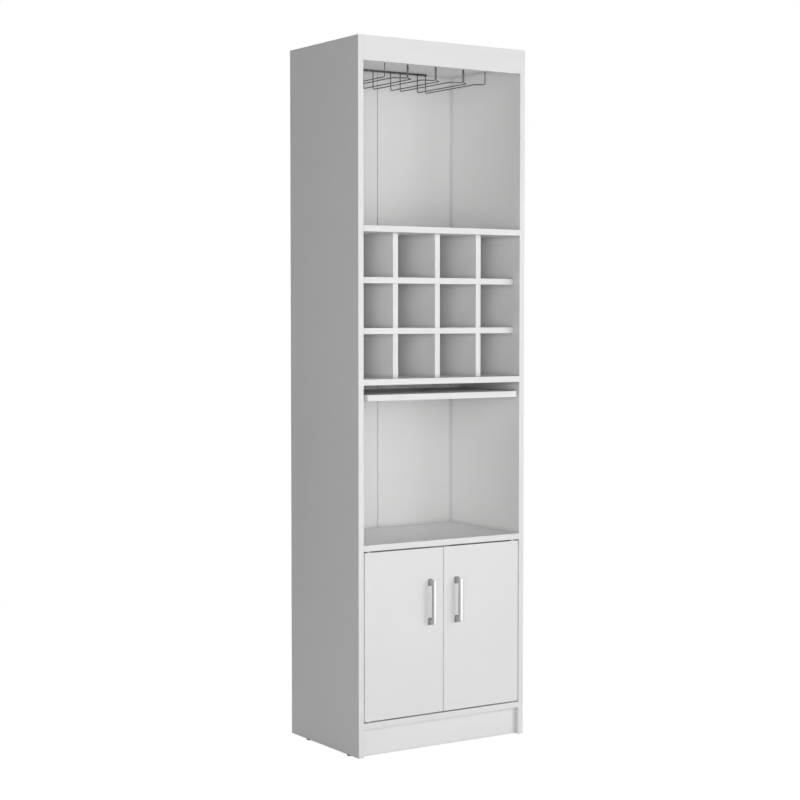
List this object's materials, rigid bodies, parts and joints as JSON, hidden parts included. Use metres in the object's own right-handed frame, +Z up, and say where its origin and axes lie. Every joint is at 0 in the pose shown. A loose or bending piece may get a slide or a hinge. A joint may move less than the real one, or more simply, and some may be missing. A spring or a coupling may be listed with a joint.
{
  "type": "bar cabinet",
  "caption": "Tall narrow bar cabinet: hanging glass rack, bottle grid, pull-out shelf, open bay and a base compartment with a pair of inset doors.",
  "frame": {"origin": "on the floor, under the middle of the whole object's box", "axes": "+Z up, +X to the right as seen from the front, -Y out of the front"},
  "size_m": [0.5, 0.353, 1.76],
  "materials": {
    "white_melamine": "matt white melamine on particle board",
    "white_hardboard": "hardboard, matt white lacquered inside and bare brown behind",
    "beech": "bare fluted beech",
    "zinc_steel": "zinc plated steel",
    "rack_wire": "dark satin nickel plated wire",
    "satin_metal": "satin nickel plated cast metal",
    "dark_plastic": "dark moulded plastic",
    "white_plastic": "white moulded plastic",
    "magnet": "dark ferrite"
  },
  "bodies": {
    "cabinet": {"back_joining_strip": "white_plastic", "back_panel_screws": "zinc_steel", "bottle_rack_bottom_shelf": "white_melamine", "bottle_rack_top_shelf": "white_melamine", "bottom_panel": "white_melamine", "cam_bolts": "zinc_steel", "cam_locks": "zinc_steel", "catch_magnets": "magnet", "catch_screws": "zinc_steel", "centre_divider_upright": "white_melamine", "door_hinge_pins": "zinc_steel", "floor_glides": "dark_plastic", "glass_rack_centre_loop": "rack_wire", "glass_rack_front_bar": "rack_wire", "glass_rack_left_loop": "rack_wire", "glass_rack_left_outer_wire": "rack_wire", "glass_rack_rear_bar": "rack_wire", "glass_rack_right_loop": "rack_wire", "glass_rack_right_outer_wire": "rack_wire", "glass_rack_staples": "zinc_steel", "left_back_panel": "white_hardboard", "left_divider_upright": "white_melamine", "left_side_panel": "white_melamine", "left_slide_cabinet_member": "zinc_steel", "lower_divider_shelf": "white_melamine", "magnetic_catch_housing": "white_plastic", "mid_shelf": "white_melamine", "plinth_board": "white_melamine", "right_back_panel": "white_hardboard", "right_divider_upright": "white_melamine", "right_side_panel": "white_melamine", "right_slide_cabinet_member": "zinc_steel", "slide_cabinet_screws": "zinc_steel", "top_front_rail": "white_melamine", "top_panel": "white_melamine", "upper_divider_shelf": "white_melamine", "wood_dowels": "beech"},
    "left_door": {"left_door": "white_melamine", "left_door_handle": "satin_metal", "left_handle_screws": "zinc_steel", "left_door_bushes": "white_plastic", "left_strike_plate": "zinc_steel", "left_strike_screw": "zinc_steel"},
    "right_door": {"right_door": "white_melamine", "right_door_handle": "satin_metal", "right_handle_screws": "zinc_steel", "right_door_bushes": "white_plastic", "right_strike_plate": "zinc_steel", "right_strike_screw": "zinc_steel"},
    "pull_out_shelf": {"pull_out_shelf": "white_melamine", "left_slide_shelf_member": "zinc_steel", "right_slide_shelf_member": "zinc_steel", "slide_shelf_screws": "zinc_steel"},
    "left_slide_cage": {"left_slide_ball_cage": "zinc_steel", "left_slide_balls": "zinc_steel"},
    "right_slide_cage": {"right_slide_ball_cage": "zinc_steel", "right_slide_balls": "zinc_steel"}
  },
  "joints": [
    {"name": "left_door_hinge", "type": "hinge", "parent": "cabinet", "child": "left_door", "pos_m": [-0.2184, -0.146, 0.2993], "axis": [0, 0, -1], "range_deg": [0, 125]},
    {"name": "right_door_hinge", "type": "hinge", "parent": "cabinet", "child": "right_door", "pos_m": [0.2184, -0.146, 0.2993], "axis": [0, 0, 1], "range_deg": [0, 125]},
    {"name": "pull_out_shelf_slide", "type": "slide", "parent": "cabinet", "child": "pull_out_shelf", "axis": [0, -1, 0], "range_m": [0, 0.19]},
    {"name": "left_ball_cage_slide", "type": "slide", "parent": "cabinet", "child": "left_slide_cage", "axis": [0, -1, 0], "range_m": [0, 0.095]},
    {"name": "right_ball_cage_slide", "type": "slide", "parent": "cabinet", "child": "right_slide_cage", "axis": [0, -1, 0], "range_m": [0, 0.095]}
  ],
  "couplings": [
    {"joint": "left_ball_cage_slide", "follows": "pull_out_shelf_slide", "ratio": 0.5},
    {"joint": "right_ball_cage_slide", "follows": "pull_out_shelf_slide", "ratio": 0.5}
  ]
}
